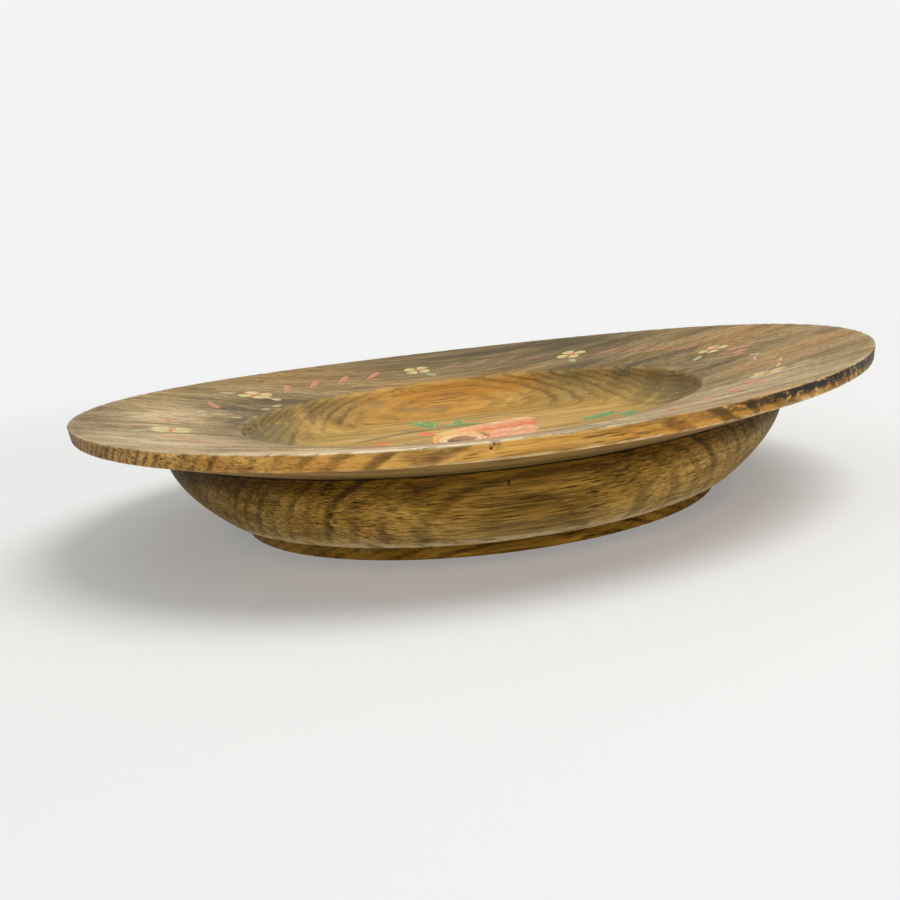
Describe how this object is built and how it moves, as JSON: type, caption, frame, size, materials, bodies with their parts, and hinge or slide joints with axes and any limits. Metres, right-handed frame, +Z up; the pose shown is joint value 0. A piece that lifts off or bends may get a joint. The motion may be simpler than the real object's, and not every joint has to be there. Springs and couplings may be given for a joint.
{
  "type": "painted wooden plate",
  "caption": "Turned wooden plate with a broad dished rim, a flat-floored well and a low foot, painted with a garland round the rim and a rose in the well.",
  "frame": {"origin": "centre of the foot's flat underside, where the plate stands", "axes": "+Z up, along the axis the plate was turned on; X along the grain of the wood"},
  "size_m": [0.2028, 0.2028, 0.0343],
  "materials": {
    "foot_wood": "worn stained open-grained wood",
    "bowl_wood": "worn stained open-grained wood",
    "rim_wood": "worn stained open-grained wood, greyed on its top",
    "yellow_paint": "thin worn paint",
    "orange_paint": "thin worn paint",
    "coral_paint": "thin worn paint",
    "pale_green_paint": "thin worn paint",
    "cream_paint": "thin worn paint",
    "pink_paint": "thin worn paint",
    "red_paint": "thin worn paint",
    "brown_paint": "thin worn paint",
    "green_paint": "thin worn paint",
    "olive_paint": "thin worn paint"
  },
  "bodies": {
    "root": {"foot": "foot_wood", "bowl": "bowl_wood", "rim": "rim_wood", "blossom_1_petals": "yellow_paint", "blossom_1_centre": "orange_paint", "blossom_1_leaf": "pale_green_paint", "spray_1": "coral_paint", "blossom_2_petals": "yellow_paint", "blossom_2_centre": "orange_paint", "blossom_2_leaf": "pale_green_paint", "spray_2": "coral_paint", "blossom_3_petals": "yellow_paint", "blossom_3_centre": "orange_paint", "blossom_3_leaf": "pale_green_paint", "spray_3": "coral_paint", "blossom_4_petals": "yellow_paint", "blossom_4_centre": "orange_paint", "blossom_4_leaf": "pale_green_paint", "end_bud_4": "coral_paint", "end_tendril_4": "cream_paint", "end_comma_4": "coral_paint", "blossom_5_petals": "yellow_paint", "blossom_5_centre": "orange_paint", "blossom_5_leaf": "pale_green_paint", "spray_5": "coral_paint", "blossom_6_petals": "yellow_paint", "blossom_6_centre": "orange_paint", "blossom_6_leaf": "pale_green_paint", "spray_6": "coral_paint", "blossom_7_petals": "yellow_paint", "blossom_7_centre": "orange_paint", "blossom_7_leaf": "pale_green_paint", "spray_7": "coral_paint", "blossom_8_petals": "yellow_paint", "blossom_8_centre": "orange_paint", "blossom_8_leaf": "pale_green_paint", "end_bud_8": "coral_paint", "end_tendril_8": "cream_paint", "end_comma_8": "coral_paint", "rose_heart": "brown_paint", "rose_cup": "cream_paint", "rose_inner_petals": "pink_paint", "rose_outer_petals": "red_paint", "rose_turned_petals": "pink_paint", "rose_leaf_1": "green_paint", "rose_leaf_2": "green_paint", "rose_leaf_3": "green_paint", "rose_leaf_4": "green_paint", "rose_leaf_5": "green_paint", "rose_leaf_6": "green_paint", "rose_leaf_7": "green_paint", "rose_bud_1": "orange_paint", "rose_bud_2": "orange_paint", "rose_bud_3": "orange_paint", "rose_stem_1": "olive_paint", "rose_stem_2": "olive_paint", "rose_stem_3": "olive_paint"}
  },
  "joints": []
}
